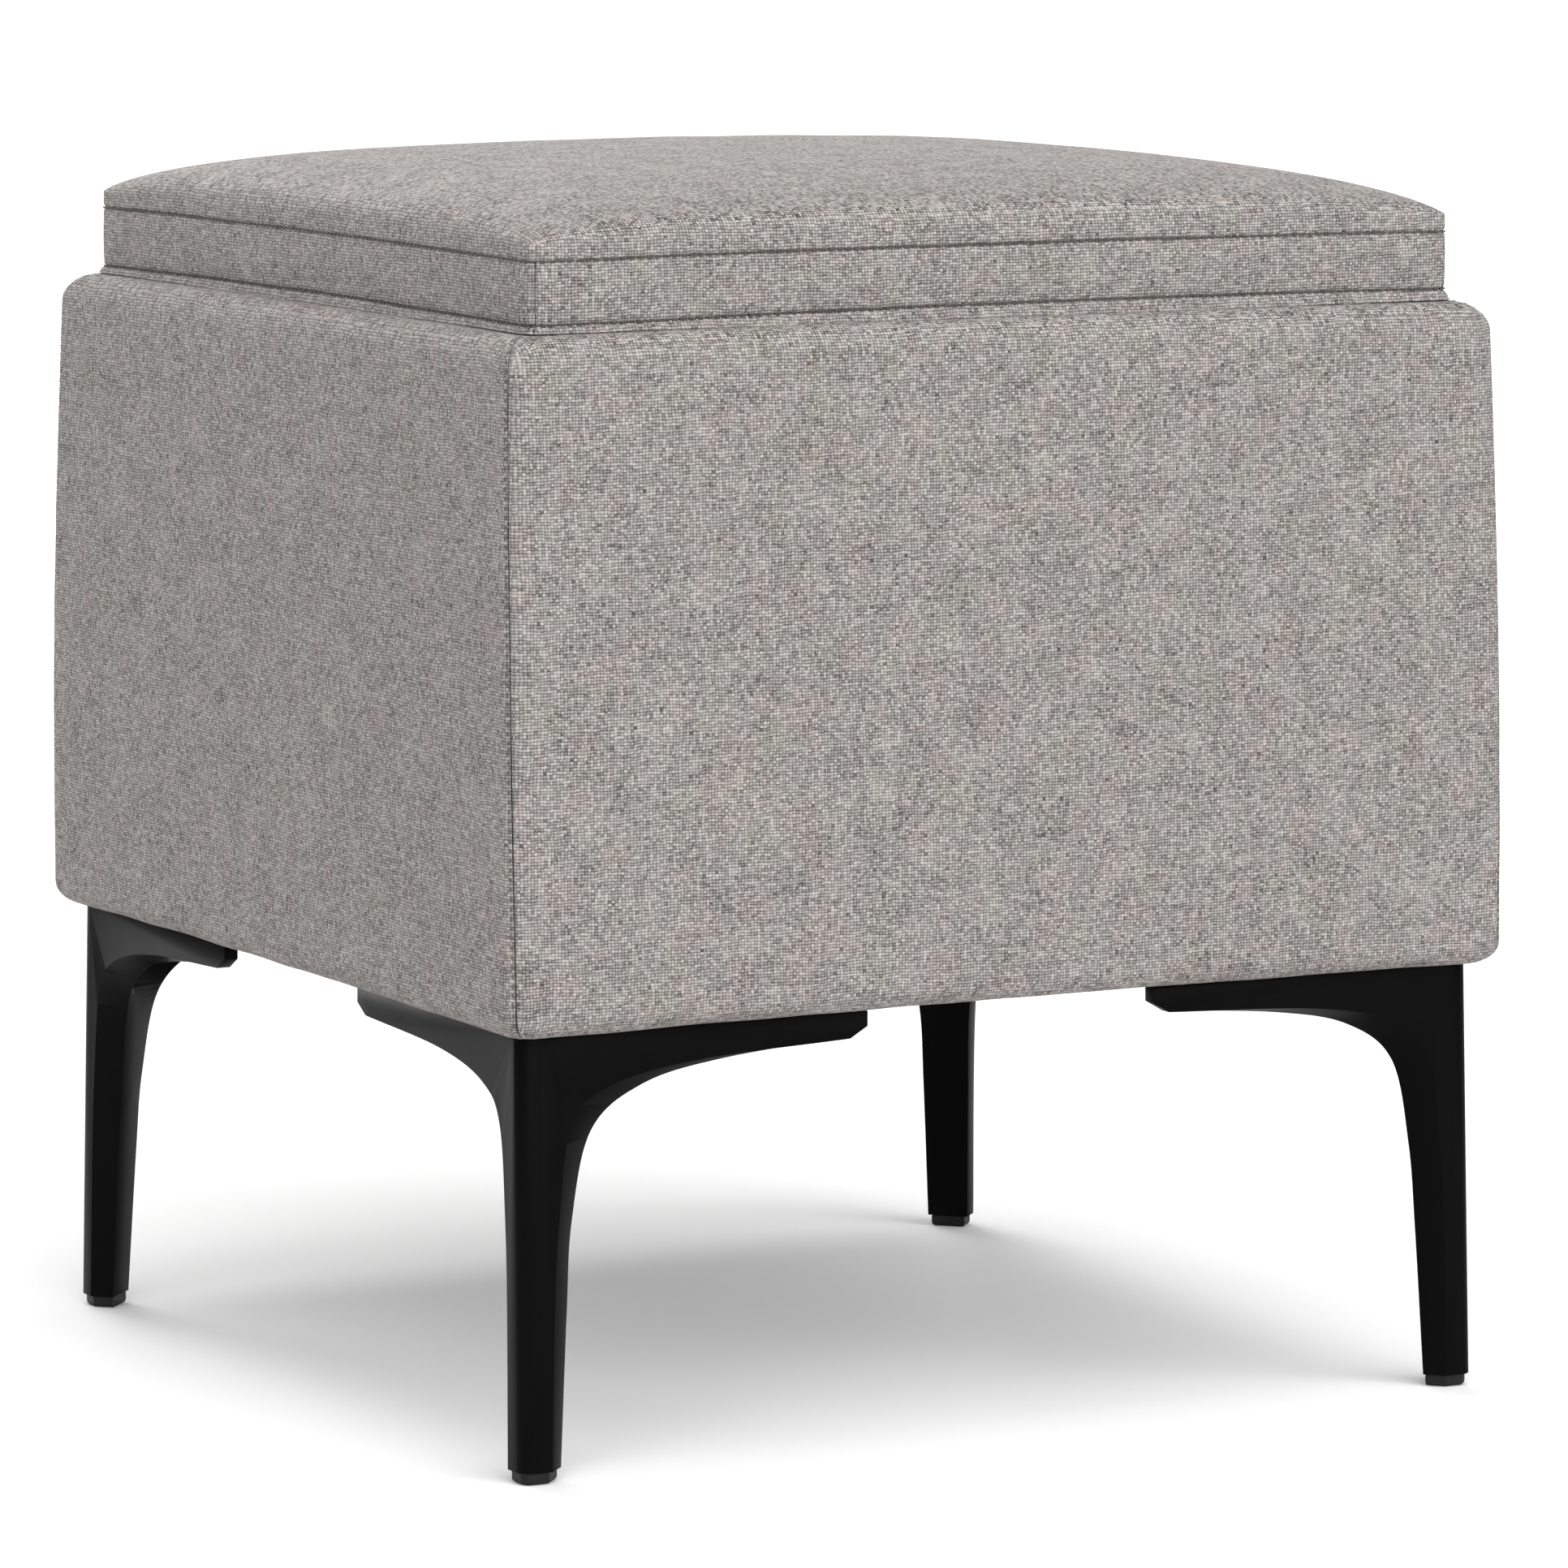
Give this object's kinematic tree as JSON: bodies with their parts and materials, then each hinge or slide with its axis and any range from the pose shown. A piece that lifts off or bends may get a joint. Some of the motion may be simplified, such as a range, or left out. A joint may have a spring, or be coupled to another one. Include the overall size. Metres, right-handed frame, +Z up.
{
  "type": "storage ottoman",
  "caption": "Square upholstered storage ottoman with a hinged padded lid on folding lid stays, a lined storage box and cast metal corner legs.",
  "frame": {"origin": "on the floor, under the middle of the box", "axes": "+Z up, front faces -Y, +X to the right seen from the front, lid hinge along X at the back"},
  "size_m": [0.4106, 0.4106, 0.4572],
  "materials": {
    "upholstery": "heathered plain weave, matt",
    "leg_metal": "satin black powder coat",
    "foam": "open cell polyurethane foam",
    "wadding": "polyester wadding",
    "particle_board": "raw particle board",
    "plywood": "raw plywood",
    "lining": "black non-woven lining",
    "dust_cover": "black non-woven sheet",
    "zinc_steel": "bright zinc plate",
    "black_plastic": "moulded"
  },
  "bodies": {
    "box": {"body_cover": "upholstery", "bottom_panel": "particle_board", "dust_cover": "dust_cover", "floor_cleat_left": "plywood", "floor_cleat_right": "plywood", "floor_panel": "lining", "glide_back_left": "black_plastic", "glide_back_right": "black_plastic", "glide_front_left": "black_plastic", "glide_front_right": "black_plastic", "hinge_body_leaf_left": "zinc_steel", "hinge_body_leaf_right": "zinc_steel", "hinge_body_screw_1": "zinc_steel", "hinge_body_screw_2": "zinc_steel", "hinge_body_screw_3": "zinc_steel", "hinge_body_screw_4": "zinc_steel", "hinge_pin_left": "zinc_steel", "hinge_pin_right": "zinc_steel", "leg_back_left": "leg_metal", "leg_back_right": "leg_metal", "leg_front_left": "leg_metal", "leg_front_right": "leg_metal", "rim_foam": "foam", "side_foam_back": "foam", "side_foam_front": "foam", "side_foam_left": "foam", "side_foam_right": "foam", "stay_wall_bracket_left": "zinc_steel", "stay_wall_bracket_right": "zinc_steel", "stay_wall_rivet_left": "zinc_steel", "stay_wall_rivet_right": "zinc_steel", "wall_lining": "lining", "wall_panel_back": "particle_board", "wall_panel_front": "particle_board", "wall_panel_left": "particle_board", "wall_panel_right": "particle_board"},
    "lid": {"hinge_lid_leaf_left": "zinc_steel", "hinge_lid_leaf_right": "zinc_steel", "hinge_lid_screw_1": "zinc_steel", "hinge_lid_screw_2": "zinc_steel", "hinge_lid_screw_3": "zinc_steel", "hinge_lid_screw_4": "zinc_steel", "lid_board": "plywood", "lid_border": "upholstery", "lid_foam": "foam", "lid_lining": "lining", "lid_lower_band": "upholstery", "lid_top_panel": "upholstery", "lid_wadding": "wadding", "stay_lid_bracket_left": "zinc_steel", "stay_lid_bracket_right": "zinc_steel", "stay_lid_rivet_left": "zinc_steel", "stay_lid_rivet_right": "zinc_steel"},
    "stay_arm_left": {"stay_arm_left": "zinc_steel", "stay_elbow_rivet_left": "zinc_steel"},
    "stay_link_left": {"stay_link_left": "zinc_steel"},
    "stay_arm_right": {"stay_arm_right": "zinc_steel", "stay_elbow_rivet_right": "zinc_steel"},
    "stay_link_right": {"stay_link_right": "zinc_steel"}
  },
  "joints": [
    {"name": "lid_hinge", "type": "hinge", "parent": "box", "child": "lid", "pos_m": [0, 0.192, 0.4082], "axis": [-1, 0, 0], "range_deg": [0, 95]},
    {"name": "stay_arm_left_pivot", "type": "hinge", "parent": "box", "child": "stay_arm_left", "pos_m": [0, 0.156, 0.3422], "axis": [-1, 0, 0], "range_deg": [0, 95]},
    {"name": "stay_elbow_left_pivot", "type": "hinge", "parent": "stay_arm_left", "child": "stay_link_left", "pos_m": [0, 0.066, 0.3277], "axis": [-1, 0, 0], "range_deg": [-95, 0]},
    {"name": "stay_arm_right_pivot", "type": "hinge", "parent": "box", "child": "stay_arm_right", "pos_m": [0, 0.156, 0.3422], "axis": [-1, 0, 0], "range_deg": [0, 95]},
    {"name": "stay_elbow_right_pivot", "type": "hinge", "parent": "stay_arm_right", "child": "stay_link_right", "pos_m": [0, 0.066, 0.3277], "axis": [-1, 0, 0], "range_deg": [-95, 0]}
  ],
  "couplings": [
    {"joint": "stay_arm_left_pivot", "follows": "lid_hinge", "ratio": 1},
    {"joint": "stay_elbow_left_pivot", "follows": "lid_hinge", "ratio": -1},
    {"joint": "stay_arm_right_pivot", "follows": "lid_hinge", "ratio": 1},
    {"joint": "stay_elbow_right_pivot", "follows": "lid_hinge", "ratio": -1}
  ]
}
